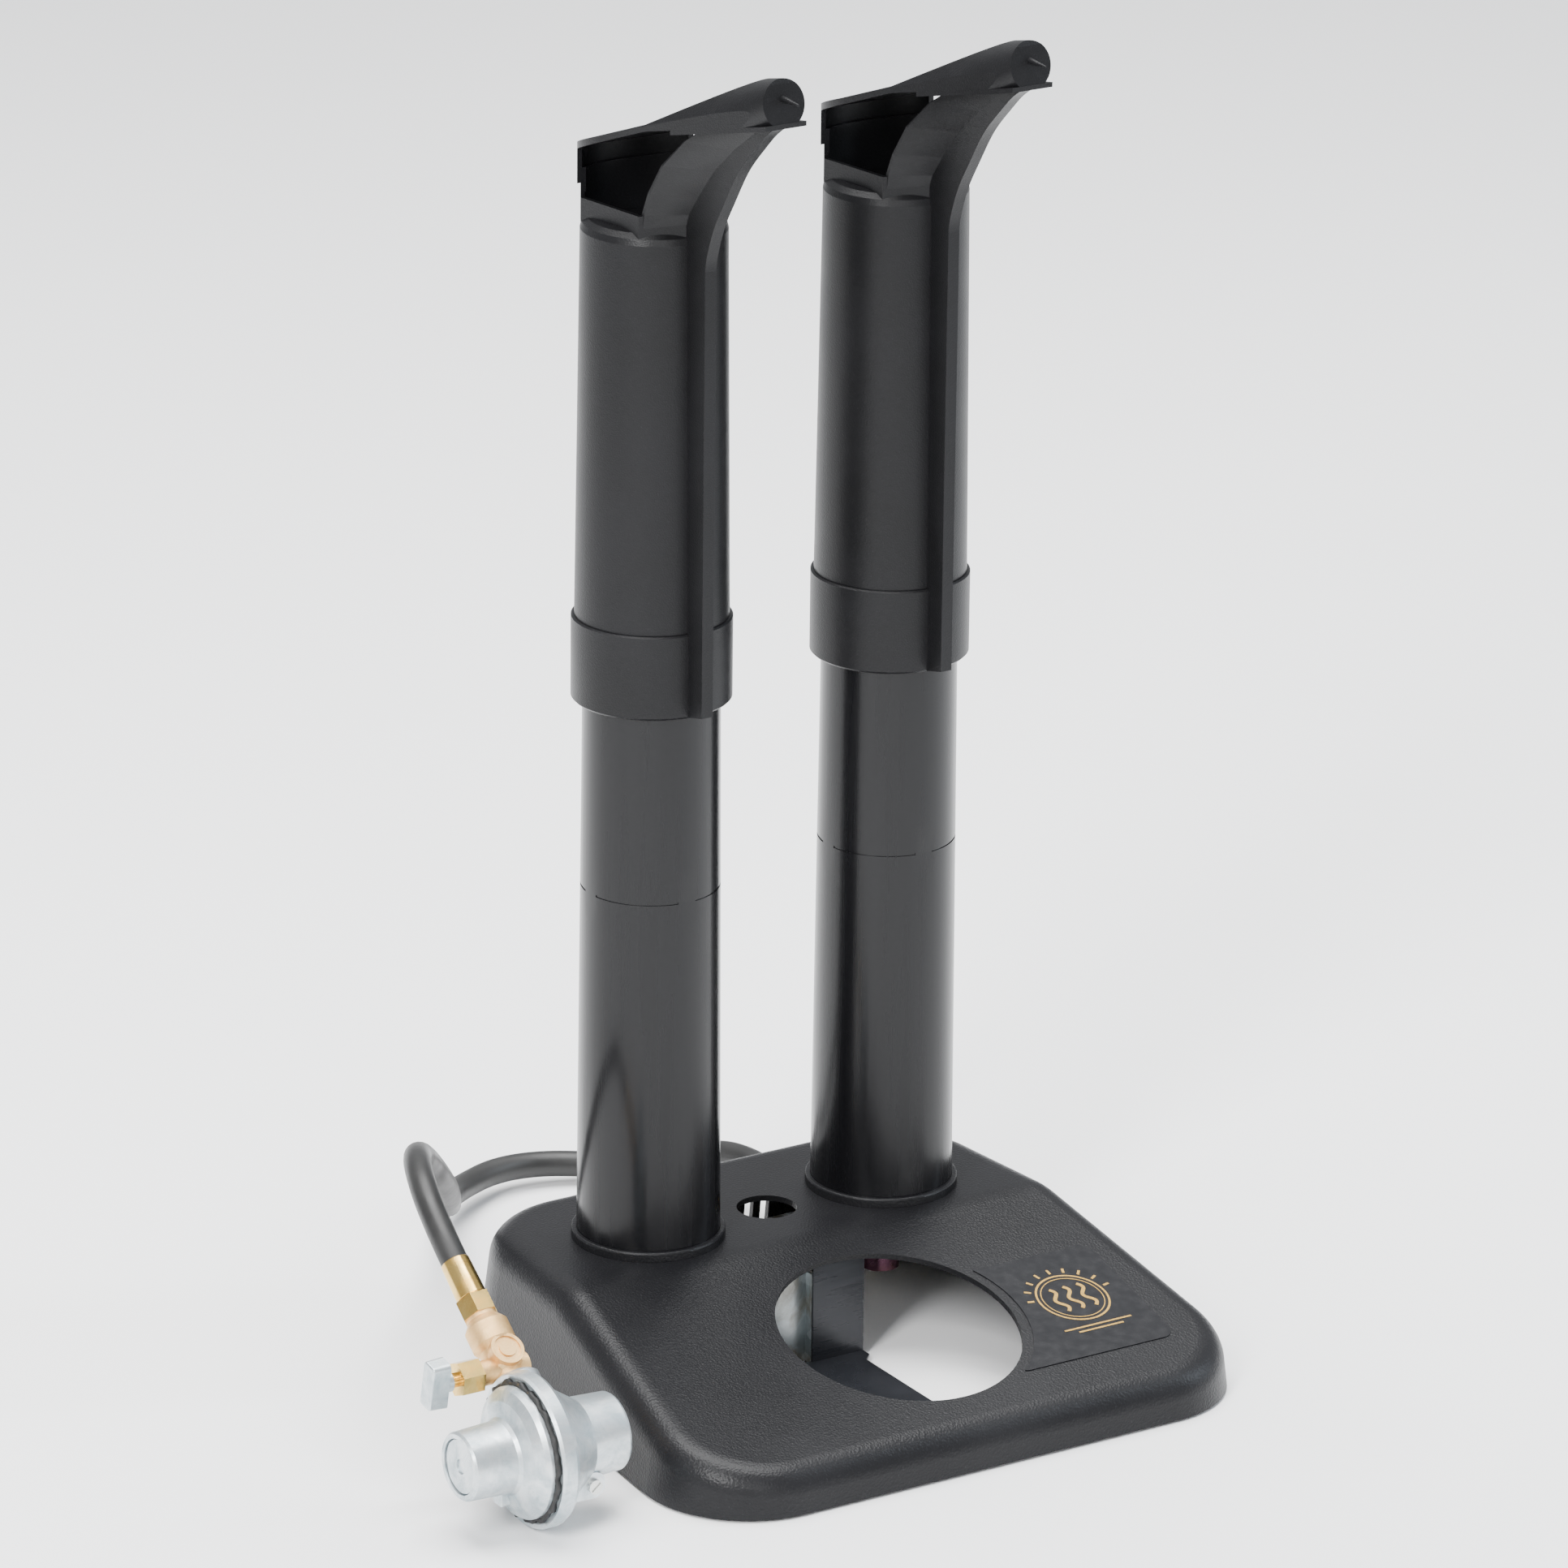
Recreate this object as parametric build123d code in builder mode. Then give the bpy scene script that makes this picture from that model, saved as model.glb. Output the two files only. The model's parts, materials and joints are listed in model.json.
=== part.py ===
from build123d import *
import os
from math import atan, cos, degrees, pi, radians, sin, tan

# Propane boot dryer: a moulded base, two heat tubes with boot ports, burners, gas hose and regulator.
# Millimetres, +Z up, the origin is on the floor under the middle of the base, and -Y is the front.

os.makedirs("parts", exist_ok=True)

# ---- Driving dimensions ---------------------------------------------------------------------------
DEPTH = 242.4          # base, front to back
HALF_WIDTH = 124.3     # base half width at the tubes, on the floor
FLARE = 0.092          # the sides spread by this much per mm towards the front
DRAFT_ANGLE = 6.9      # lean of the base walls, degrees
RIM_Z = 1.0            # the base rim stands this far above the floor, on its feet
PLATEAU_Z = 52.6       # top of the level rear part
SLOPE = 0.2485         # fall of the front part per mm
FRONT_CORNER = 45.0
BACK_CORNER = 50.0
TOP_ROUND = 13.0
SKIN = 2.5             # wall of the moulded parts

TUBE_X = 57.6          # each tube stands this far from the middle
TUBE_Y = 55.2
CREASE_Y = TUBE_Y - 36.5
WELL_Y = TUBE_Y - 103.7
WELL_RADIUS = 51.5     # clears a 98 mm gas cylinder
PEEP_RADIUS = 12.7

TUBE_FOOT_Z = 44.0
TUBE_TOP_Z = 335.0
TUBE_FOOT_RADIUS = 30.1
TUBE_TAPER = 0.0072    # loss of radius per mm of height
TUBE_WALL = 2.0
MARK_Z = 209.0         # the line that boots stay above

COLLAR_Z = 289.7
COLLAR_TOP_Z = 325.4
COLLAR_RADIUS = 33.05
SHOULDER_Z = 490.0
BODY_FOOT_RADIUS = 31.7
BODY_TOP_RADIUS = 29.9
PORT_WALL = 2.2
FIN_HALF = 2.6
FIN_REACH = 43.0

SHEET = 1.2            # folded sheet metal
BURNER_RADIUS = 8.3
BURNER_Z = 14.0

HOSE_RADIUS = 5.7
INLET_X = 62.0
INLET_Z = 25.0

REG_X = -186.0         # middle of the regulator's flange
REG_Y = TUBE_Y - 125.4
REG_RADIUS = 32.0      # the flange stands on the floor
OUTLET_X = -183.0
OUTLET_ANGLE = 38.0    # rise of the outlet above the floor, degrees


def tube_radius(z):
    """Outside radius of a heat tube at height z."""
    return TUBE_FOOT_RADIUS - TUBE_TAPER * (z - TUBE_FOOT_Z)


def slope_z(y, top=PLATEAU_Z):
    """Height of the base's top at y."""
    return top - max(0.0, CREASE_Y - y) * SLOPE


def save(part, name):
    """Label a finished piece and write its STEP file."""
    part.label = name
    export_step(part, f"parts/{name}.step")


# ---- Base shell -----------------------------------------------------------------------------------
def base_form(inset):
    """The closed outer form of the base, drawn in by inset on the sides and the top."""
    back = DEPTH / 2 - inset
    front = -DEPTH / 2 + inset
    back_half = HALF_WIDTH - FLARE * (DEPTH / 2 - TUBE_Y) - inset
    front_half = HALF_WIDTH + FLARE * (DEPTH / 2 + TUBE_Y) - inset
    top = PLATEAU_Z - inset
    with BuildPart() as form:
        with BuildSketch(Plane.XY.offset(RIM_Z - (1.0 if inset else 0.0))) as footprint:
            with BuildLine():
                Polyline((back_half, back), (-back_half, back), (-front_half, front),
                         (front_half, front), close=True)
            make_face()
            fillet(footprint.vertices().group_by(Axis.Y)[-1], BACK_CORNER - inset)
            fillet(footprint.vertices().group_by(Axis.Y)[0], FRONT_CORNER - inset)
        extrude(amount=PLATEAU_Z + 4, taper=DRAFT_ANGLE)
        with BuildSketch(Plane.YZ):
            with BuildLine():
                Polyline((DEPTH, top), (CREASE_Y, top), (-DEPTH, top - (CREASE_Y + DEPTH) * SLOPE),
                         (-DEPTH, 2 * PLATEAU_Z), (DEPTH, 2 * PLATEAU_Z), close=True)
            make_face()
        extrude(amount=DEPTH, both=True, mode=Mode.SUBTRACT)
        crease = form.edges().filter_by(Axis.X).group_by(Axis.Z)[-1].sort_by(Axis.Y)[0]
        fillet(crease, 40.0)
        tops = form.faces().filter_by(lambda f: f.normal_at().Z > 0.9)
        rim = [e for e in form.edges() if sum(any(e.is_same(o) for o in f.edges()) for f in tops) == 1]
        fillet(rim, TOP_ROUND - inset)
    return form.part

def axis_x(x, y, z):
    """A plane across the X axis at x, drawn with Y to the right and Z up."""
    return Plane(origin=(x, y, z), x_dir=(0, 1, 0), z_dir=(1, 0, 0))


slope_angle = degrees(atan(SLOPE))
slope_plane = Plane(origin=(0, WELL_Y, slope_z(WELL_Y)), x_dir=(1, 0, 0),
                    z_dir=(0, -sin(radians(slope_angle)), cos(radians(slope_angle))))
sides = {"left": -1, "right": 1}
FEET = [(-72, 92), (72, 92), (-90, -76), (90, -76)]

with BuildPart() as base_shell:
    add(base_form(0.0))
    add(base_form(SKIN), mode=Mode.SUBTRACT)
    # posts that carry the feet
    for x, y in FEET:
        with BuildSketch(Plane.XY.offset(4)):
            with Locations((x, y)):
                Circle(6)
        extrude(amount=slope_z(y - 6) - 5.2)
    # sockets and beads of the two heat tubes
    for side in sides.values():
        with BuildSketch(Plane.XY.offset(42)):
            with Locations((side * TUBE_X, TUBE_Y)):
                Circle(TUBE_FOOT_RADIUS + 2.6)
        extrude(amount=PLATEAU_Z - 43)
        with BuildSketch(Plane.XY.offset(PLATEAU_Z - 1)):
            with Locations((side * TUBE_X, TUBE_Y)):
                Circle(32.2)
        extrude(amount=5.1)
    beads = base_shell.edges().filter_by(GeomType.CIRCLE).group_by(Axis.Z)[-1]
    fillet(beads, 1.0)
    for side in sides.values():
        with BuildSketch(Plane.XY.offset(TUBE_FOOT_Z)):
            with Locations((side * TUBE_X, TUBE_Y)):
                Circle(TUBE_FOOT_RADIUS)
        extrude(amount=20, mode=Mode.SUBTRACT)
        with BuildSketch(Plane.XY.offset(40)):
            with Locations((side * TUBE_X, TUBE_Y)):
                Circle(26)
        extrude(amount=8, mode=Mode.SUBTRACT)
        with BuildSketch(Plane.XY.offset(41)):
            with Locations((side * TUBE_X - 29, TUBE_Y), (side * TUBE_X + 29, TUBE_Y)):
                Circle(1.5)
        extrude(amount=2.5, mode=Mode.SUBTRACT)
    # the well that a gas cylinder stands in, and the hole between the tubes
    with BuildSketch(slope_plane):
        Circle(WELL_RADIUS)
    extrude(amount=14, both=True, mode=Mode.SUBTRACT)
    with BuildSketch(Plane.XY.offset(PLATEAU_Z - 6)):
        with Locations((0, TUBE_Y - 1)):
            Circle(PEEP_RADIUS)
    extrude(amount=10, mode=Mode.SUBTRACT)
    # air slots along the back wall
    with BuildSketch(Plane.XZ.offset(-DEPTH / 2 + 20)):
        for count in range(13):
            with Locations((-58 + 8 * count, 26)):
                SlotOverall(24, 4.3, rotation=90)
    extrude(amount=-30, mode=Mode.SUBTRACT)
    # flat pad where the gas inlet passes the wall
    with BuildSketch(Plane.XZ.offset(-112)):
        with Locations((TUBE_X, INLET_Z)):
            Circle(12)
    extrude(amount=-7.5)
    with BuildSketch(Plane.XZ.offset(-100)):
        with Locations((TUBE_X, INLET_Z)):
            Circle(5.5)
    extrude(amount=-30, mode=Mode.SUBTRACT)
save(base_shell.part, "base_shell")

with BuildPart() as rubber_feet:
    with BuildSketch():
        with Locations(*FEET):
            Circle(8)
    extrude(amount=4)
    fillet(rubber_feet.edges().group_by(Axis.Z)[0], 1.0)
save(rubber_feet.part, "rubber_feet")

# ---- Label on the slope, cut back round the well -----------------------------------------------------
with BuildPart() as label_panel:
    with BuildSketch(slope_plane.offset(0.02)):
        with Locations((69, -11.3)):
            RectangleRounded(78, 69, 6)
        Circle(56, mode=Mode.SUBTRACT)
    extrude(amount=0.4)
save(label_panel.part, "label_panel")


# ---- Heat tubes -------------------------------------------------------------------------------------
def heat_tube(x):
    """A tapered tube standing at x, with a broken groove round it at the mark."""
    foot = TUBE_FOOT_RADIUS
    top = tube_radius(TUBE_TOP_Z)
    middle = tube_radius(MARK_Z)
    with BuildPart() as tube:
        with BuildSketch(Plane.XZ):
            with BuildLine():
                Polyline((foot - TUBE_WALL, TUBE_FOOT_Z), (foot, TUBE_FOOT_Z), (top, TUBE_TOP_Z - 0.8),
                         (top - 0.8, TUBE_TOP_Z), (top - TUBE_WALL, TUBE_TOP_Z), close=True)
            make_face()
        revolve(axis=Axis.Z)
        for turn in range(0, 360, 90):
            with BuildSketch(Plane.XZ.rotated((0, 0, turn + 8))):
                with Locations((middle, MARK_Z)):
                    Rectangle(0.7, 0.9)
            revolve(axis=Axis.Z, revolution_arc=74, mode=Mode.SUBTRACT)
    return tube.part.moved(Location((x, TUBE_Y, 0)))


with BuildPart() as left_tube:
    add(heat_tube(-TUBE_X))
save(left_tube.part, "left_tube")

with BuildPart() as right_tube:
    add(heat_tube(TUBE_X))
save(right_tube.part, "right_tube")

# ---- Boot ports -------------------------------------------------------------------------------------
TIP = (-95.5, 562.0)          # middle of the round end, y and z
TIP_RADIUS = 9.5
SPINE_RISE = 28.2             # degrees
HULL_RADIUS = 31.0
SILL_Z = 500.0
RIM_LINE = [(34, 518.4), (15, 523), (-32, 541), (-88, 571), (-93.5, 571.6)]
SKIRT_LINE = [(-97.4, 552.8), (-88, 551.4), (-32, 538.2), (15, 520.2), (34, 515.6)]
# free edge of the front wall (x, y, z), and where that wall meets the fin (y)
FRONT_WALL = [(18.6, -21.6, 495.0, -28.6), (18.4, -22.2, 500.6, -31.0), (17.6, -25.2, 510.0, -38.4),
              (15.8, -32.0, 523.0, -50.2), (12.4, -42.6, 535.0, -65.2), (8.0, -56.4, 545.5, -81.6),
              (6.4, -62.0, 549.0, -86.8)]
FIN_EDGE = [(-43, 480), (-44.6, 488), (-49.5, 500), (-57, 512), (-68, 528), (-80, 540), (-97.4, 553)]


def hood_form(inset):
    """The hood's outer form, drawn in by inset and then open below."""
    along = Vector(0, cos(radians(SPINE_RISE)), -sin(radians(SPINE_RISE)))
    start = Vector(0, TIP[0], TIP[1]) - along * 2
    cone_plane = Plane(origin=start, x_dir=(1, 0, 0), z_dir=along)
    top = [(y + (inset if y < -90 else 0), z - inset) for y, z in RIM_LINE]
    low = [(y + (inset if y < -90 else 0), z - 4 * inset) for y, z in SKIRT_LINE]
    with BuildPart() as form:
        with BuildSketch(Plane.XY.offset(500)) as outline:
            Circle(HULL_RADIUS - inset)
            with Locations((0, -97)):
                Circle(TIP_RADIUS - inset)
            make_hull()
        extrude(amount=90)
        with BuildSketch(Plane.YZ):
            with BuildLine():
                Polyline(*top, *low, close=True)
            make_face()
        extrude(amount=50, both=True, mode=Mode.INTERSECT)
        with BuildSketch(cone_plane) as tip_round:
            Circle(TIP_RADIUS - 0.5 - inset)
        with BuildSketch(cone_plane.offset(150)) as far_round:
            Circle(TIP_RADIUS - 0.5 - inset + 150 * 0.262)
        loft(sections=[tip_round.sketch, far_round.sketch], mode=Mode.INTERSECT)
    return form.part


def neck_outline(inset, z):
    """Sketch of the neck: round at the back, flat at the two side openings and the front."""
    back = 29.6 - inset
    bx = 25.6 - inset * 0.9
    by = 14.8
    with BuildSketch(Plane.XY.offset(z)) as neck:
        with BuildLine():
            ThreePointArc((bx, by), (0, back), (-bx, by))
            Polyline((-bx, by), (-20.2 + inset, -20.8 + inset * 0.3), (-FIN_HALF, -28.6 + inset),
                     (FIN_HALF, -28.6 + inset), (20.2 - inset, -20.8 + inset * 0.3), (bx, by))
        make_face()
    return neck.sketch


def front_sections(shift, widen, levels):
    """Level sections of the front wall's outer side, moved back by shift."""
    faces = []
    for x, y, z, fin_y in levels:
        with BuildSketch(Plane.XY.offset(z)) as level:
            with BuildLine():
                Polyline((-x - widen, y + shift + 2), (-x - widen, y + shift), (-1.7, fin_y + shift),
                         (1.7, fin_y + shift), (x + widen, y + shift), (x + widen, y + shift + 2),
                         close=True)
            make_face()
        faces.append(level.sketch)
    return faces


def boot_port(x):
    """One boot port standing on the heat tube at x, its hood pointing to the front."""
    bore = 28.8
    neck = neck_outline(0.0, SHOULDER_Z)
    throat = neck_outline(2.2, SHOULDER_Z - 2)
    wall_outside = front_sections(0, 0, FRONT_WALL)
    wall_inside = front_sections(2.3, 0.9, FRONT_WALL)
    hood = hood_form(0.0)
    hollow = hood_form(2.0)
    with BuildPart() as nose:
        with BuildSketch(Plane.XY.offset(530)):
            Circle(HULL_RADIUS)
            with Locations((0, -97)):
                Circle(TIP_RADIUS - 0.2)
            make_hull()
        extrude(amount=40)
        with BuildSketch(Plane.YZ):
            with BuildLine():
                Polyline((-46, 541.6), (-97.4, 553.6), (-97.4, 551.6), (-46, 539.6), close=True)
            make_face()
        extrude(amount=60, both=True, mode=Mode.INTERSECT)
    web = nose.part
    with BuildPart() as chevron:
        loft(sections=wall_outside, ruled=True)
        loft(sections=wall_inside, ruled=True, mode=Mode.SUBTRACT)
    front_wall = chevron.part
    with BuildPart() as port:
        # collar, tapered body, closing plate and the inner ledge that rests on the tube
        with BuildSketch(Plane.XZ):
            with BuildLine():
                Polyline((bore, COLLAR_Z), (COLLAR_RADIUS - 1, COLLAR_Z), (COLLAR_RADIUS, COLLAR_Z + 1),
                         (COLLAR_RADIUS, COLLAR_TOP_Z - 0.6), (COLLAR_RADIUS - 0.6, COLLAR_TOP_Z),
                         (BODY_FOOT_RADIUS, COLLAR_TOP_Z), (BODY_TOP_RADIUS, SHOULDER_Z - 2),
                         (BODY_TOP_RADIUS - 0.8, SHOULDER_Z + 0.6), (BODY_TOP_RADIUS - 3, SHOULDER_Z + 2.6),
                         (BODY_TOP_RADIUS - 6, SHOULDER_Z + 3.2), (0, SHOULDER_Z + 3.2),
                         (0, SHOULDER_Z), (BODY_TOP_RADIUS - PORT_WALL, SHOULDER_Z - 2),
                         (BODY_FOOT_RADIUS - PORT_WALL - 0.1, TUBE_TOP_Z + 4),
                         (26.0, TUBE_TOP_Z + 2.4), (26.0, TUBE_TOP_Z + 0.3), (bore, TUBE_TOP_Z + 0.3),
                         close=True)
            make_face()
        revolve(axis=Axis.Z)
        # neck up to the sills
        extrude(to_extrude=neck, amount=SILL_Z - SHOULDER_Z)
        # back wall under the hood
        with BuildSketch(Plane.XY.offset(SHOULDER_Z + 1)):
            Circle(29.6)
            Circle(27.4, mode=Mode.SUBTRACT)
            with Locations((0, -25.2)):
                Rectangle(80, 80, mode=Mode.SUBTRACT)
        extrude(amount=32)
        with BuildSketch(Plane.XY.offset(SILL_Z + 6)):
            Circle(HULL_RADIUS)
            Circle(HULL_RADIUS - 2.2, mode=Mode.SUBTRACT)
            with Locations((0, -25.2)):
                Rectangle(80, 80, mode=Mode.SUBTRACT)
        extrude(amount=17)
        with BuildSketch(Plane.YZ):
            with BuildLine():
                Polyline((40, 516.4), (15, 522.4), (10, 523.6), (10, 560), (40, 560), close=True)
            make_face()
        extrude(amount=40, both=True, mode=Mode.SUBTRACT)
        # hood and the web under its nose
        add(web)
        add(hood)
        add(hollow, mode=Mode.SUBTRACT)
        extrude(to_extrude=throat, amount=SILL_Z - SHOULDER_Z + 4, mode=Mode.SUBTRACT)
        # front wall between the two side openings
        add(front_wall)
        # fin down the front
        with BuildSketch(Plane.YZ):
            with BuildLine():
                Spline(*FIN_EDGE, tangents=((0, 1), (-1, 0.55)))
                Polyline((-97.4, 553), (-92.5, 554.5), (-81, 547.2), (-64, 536.6), (-49, 524.4),
                         (-37.5, 511.2), (-29.5, 500), (-28.4, 490), (-30.4, COLLAR_TOP_Z),
                         (-30.4, COLLAR_Z), (-FIN_REACH, COLLAR_Z + 3), (-FIN_REACH, 480))
            make_face()
        extrude(amount=FIN_HALF, both=True)
        # moulding pip on the nose
        with BuildSketch(Plane.XZ.offset(94.5)):
            with Locations((0, TIP[1] + 1)):
                Circle(1.5)
        extrude(amount=12, taper=5)
    return port.part.moved(Location((x, TUBE_Y, 0)))


with BuildPart() as left_port:
    add(boot_port(-TUBE_X))
save(left_port.part, "left_port")

with BuildPart() as right_port:
    add(boot_port(TUBE_X))
save(right_port.part, "right_port")

# ---- Sheet metal inside the base ---------------------------------------------------------------------
with BuildPart() as burner_shield:
    with BuildSketch(Plane.XY.offset(1.6)):
        with BuildLine():
            Polyline((-30, 4.2), (16, 4.2), (16, -2), (12, -6), (12, -62), (-30, -62), close=True)
        make_face()
    extrude(amount=SHEET)
    with BuildSketch(Plane.XY.offset(1.6)):
        with Locations((3.5, 3.6)):
            Rectangle(25, SHEET)
    extrude(amount=44.2)
    fillet(burner_shield.edges().filter_by(Axis.X).group_by(Axis.Z)[2].sort_by(Axis.Y)[-1], 0.4)
save(burner_shield.part, "burner_shield")

with BuildPart() as heat_shield:
    with BuildSketch(Plane.XY.offset(1.6)):
        with Locations((-30, 57)):
            Circle(52.6)
            Circle(52.6 - SHEET, mode=Mode.SUBTRACT)
        with Locations((-42, -2)):
            Rectangle(68, 70, mode=Mode.INTERSECT)
        with Locations((-8.6, 7.0)):
            Rectangle(SHEET, 5.6)
    extrude(amount=40.2)
save(heat_shield.part, "heat_shield")


# ---- Burners and gas pipe ----------------------------------------------------------------------------
def burner_tube(x):
    """Mixing tube: open at the foot, with the jet's hole in its back."""
    with BuildPart() as tube:
        with BuildSketch(Plane.XY.offset(BURNER_Z)):
            Circle(BURNER_RADIUS)
            Circle(BURNER_RADIUS - 1, mode=Mode.SUBTRACT)
        extrude(amount=52)
        with BuildSketch(Plane.XZ):
            with Locations((0, INLET_Z)):
                Circle(2.5)
        extrude(amount=-20, mode=Mode.SUBTRACT)
    return tube.part.moved(Location((x, TUBE_Y, 0)))


def burner_head(x):
    """Slotted cap on top of a mixing tube."""
    top = BURNER_Z + 52
    with BuildPart() as head:
        with BuildSketch(Plane.XZ):
            with BuildLine():
                Polyline((0, top + 13), (9, top + 13), (12, top + 10), (12, top), (BURNER_RADIUS, top),
                         (BURNER_RADIUS, top - 5), (BURNER_RADIUS + 1.5, top - 5),
                         (BURNER_RADIUS + 1.5, top - 0.8), (13.5, top - 0.8), (13.5, top + 10.6),
                         (9.6, top + 14.5), (0, top + 14.5), close=True)
            make_face()
        revolve(axis=Axis.Z)
        with BuildSketch(Plane.XY.offset(top + 2)):
            with PolarLocations(12.5, 18):
                Rectangle(4, 1.2)
        extrude(amount=7, mode=Mode.SUBTRACT)
    return head.part.moved(Location((x, TUBE_Y, 0)))


with BuildPart() as left_burner_tube:
    add(burner_tube(-TUBE_X))
save(left_burner_tube.part, "left_burner_tube")

with BuildPart() as right_burner_tube:
    add(burner_tube(TUBE_X))
save(right_burner_tube.part, "right_burner_tube")

with BuildPart() as left_burner_head:
    add(burner_head(-TUBE_X))
save(left_burner_head.part, "left_burner_head")

with BuildPart() as right_burner_head:
    add(burner_head(TUBE_X))
save(right_burner_head.part, "right_burner_head")

with BuildPart() as burner_bracket:
    with BuildSketch(Plane.XY.offset(42 - 1.5)):
        with Locations((0, TUBE_Y)):
            RectangleRounded(2 * TUBE_X + 72, 21, 4)
        with Locations((-TUBE_X, TUBE_Y), (TUBE_X, TUBE_Y)):
            Circle(BURNER_RADIUS, mode=Mode.SUBTRACT)
        for side in sides.values():
            with Locations((side * TUBE_X - 29, TUBE_Y), (side * TUBE_X + 29, TUBE_Y)):
                Circle(1.5, mode=Mode.SUBTRACT)
        with Locations((0, TUBE_Y)):
            SlotOverall(44, 12, mode=Mode.SUBTRACT)
    extrude(amount=1.5)
save(burner_bracket.part, "burner_bracket")

with BuildPart() as bracket_screws:
    with BuildSketch(Plane.XY.offset(38.4)):
        for side in sides.values():
            with Locations((side * TUBE_X - 29, TUBE_Y), (side * TUBE_X + 29, TUBE_Y)):
                Circle(3.2)
    extrude(amount=2.1)
    fillet(bracket_screws.edges().group_by(Axis.Z)[0], 0.8)
    with BuildSketch(Plane.XY.offset(40.5)):
        for side in sides.values():
            with Locations((side * TUBE_X - 29, TUBE_Y), (side * TUBE_X + 29, TUBE_Y)):
                Circle(1.5)
    extrude(amount=3.0)
save(bracket_screws.part, "bracket_screws")

PIPE_Y = TUBE_Y + 30
with BuildPart() as orifices:
    for side in sides.values():
        with BuildSketch(Plane.XZ.offset(-(TUBE_Y + BURNER_RADIUS + 0.3))):
            with Locations((side * TUBE_X, INLET_Z)):
                RegularPolygon(4.5, 6, major_radius=False)
        extrude(amount=-9)
        with BuildSketch(Plane.XZ.offset(-(TUBE_Y + BURNER_RADIUS - 4))):
            with Locations((side * TUBE_X, INLET_Z)):
                Circle(2.4)
        extrude(amount=-5)
save(orifices.part, "orifices")

with BuildPart() as gas_manifold:
    with BuildSketch(Plane.YZ.offset(-TUBE_X)):
        with Locations((PIPE_Y, INLET_Z)):
            Circle(4)
    extrude(amount=2 * TUBE_X)
    for side in sides.values():
        with BuildSketch(Plane.XY.offset(INLET_Z - 5)):
            with Locations((side * TUBE_X, PIPE_Y)):
                Circle(5.6)
        extrude(amount=10)
        with BuildSketch(Plane.XZ.offset(-(TUBE_Y + BURNER_RADIUS + 9.3))):
            with Locations((side * TUBE_X, INLET_Z)):
                Circle(4)
        extrude(amount=-(PIPE_Y - TUBE_Y - BURNER_RADIUS - 9.3))
    with BuildSketch(Plane.XZ.offset(-PIPE_Y)):
        with Locations((TUBE_X, INLET_Z)):
            Circle(4)
    extrude(amount=-(106 - PIPE_Y))
save(gas_manifold.part, "gas_manifold")

# ---- Gas inlet in the back wall, and the end of the hose in it ----------------------------------------
with BuildPart() as inlet_fitting:
    with BuildSketch(Plane.XZ.offset(-106)):
        with Locations((TUBE_X, INLET_Z)):
            Circle(5.5)
    extrude(amount=-25)
    with BuildSketch(Plane.XZ.offset(-119.5)):
        with Locations((TUBE_X, INLET_Z)):
            RegularPolygon(8, 6, major_radius=False)
    extrude(amount=-7)
save(inlet_fitting.part, "inlet_fitting")

with BuildPart() as inlet_nut:
    with BuildSketch(Plane.XZ.offset(-107.5)):
        with Locations((TUBE_X, INLET_Z)):
            RegularPolygon(8, 6, major_radius=False)
            Circle(5.5, mode=Mode.SUBTRACT)
    extrude(amount=-4.5)
save(inlet_nut.part, "inlet_nut")

HOSE_START = (TUBE_X, 150.0, INLET_Z)
with BuildPart() as inlet_ferrule:
    with BuildSketch(Plane.XZ.offset(-131)):
        with Locations((TUBE_X, INLET_Z)):
            Circle(6.2)
    extrude(amount=-19)
    chamfer(inlet_ferrule.edges().filter_by(GeomType.CIRCLE), 0.3)
save(inlet_ferrule.part, "inlet_ferrule")

# ---- Gas hose -----------------------------------------------------------------------------------------
outlet = Plane(origin=(OUTLET_X, REG_Y, REG_RADIUS), x_dir=(1, 0, 0),
               z_dir=(0, cos(radians(OUTLET_ANGLE)), sin(radians(OUTLET_ANGLE))))
FERRULE_END = 88.5
HOSE_END = tuple(outlet.from_local_coords(Vector(0, 0, FERRULE_END)))
HOSE_ROUTE = [HOSE_START, (TUBE_X, 168, INLET_Z), (52, 192, 18), (33, 219, 7), (-14, 242, 10),
              (-60, 218, 13), (-79, 184, 23), (-111, 130, 58), (-152, 83, 100), (-174, 46, 110),
              tuple(outlet.from_local_coords(Vector(0, 0, FERRULE_END + 22))), HOSE_END]
points = [Vector(*point) for point in HOSE_ROUTE]
runs = [(after - before).length for before, after in zip(points, points[1:])]
radii = []
for index in range(1, len(points) - 1):
    turn = (points[index] - points[index - 1]).get_angle(points[index + 1] - points[index])
    radii.append(0.45 * min(runs[index - 1], runs[index]) / tan(radians(turn) / 2))
with BuildPart() as gas_hose:
    with BuildLine() as hose_line:
        FilletPolyline(*points, radius=radii)
    hose_length = sum(edge.length for edge in hose_line.edges())
    with BuildSketch(Plane(origin=HOSE_START, x_dir=(1, 0, 0), z_dir=points[1] - points[0])):
        Circle(HOSE_RADIUS)
    sweep(path=hose_line.wires()[0])
save(gas_hose.part, "gas_hose")
print("hose radii", [round(radius, 1) for radius in radii])
print("hose length", round(hose_length, 1), "volume over section x length",
      round(gas_hose.part.volume / (pi * HOSE_RADIUS ** 2 * hose_length), 4))

# ---- Fittings between hose and regulator, all on the outlet's axis -------------------------------------
TEE_S = 42.0
BRANCH_S = 37.5
NECK_END = 32.2


def turned(profile, plane=outlet):
    """A solid of revolution about a plane's normal, from (radius, height) points."""
    section = Plane(origin=plane.origin, x_dir=plane.x_dir, z_dir=-plane.y_dir)
    with BuildPart() as solid:
        with BuildSketch(section):
            with BuildLine():
                Polyline(*profile, close=True)
            make_face()
        revolve(axis=Axis(plane.origin, plane.z_dir))
    return solid.part


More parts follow.
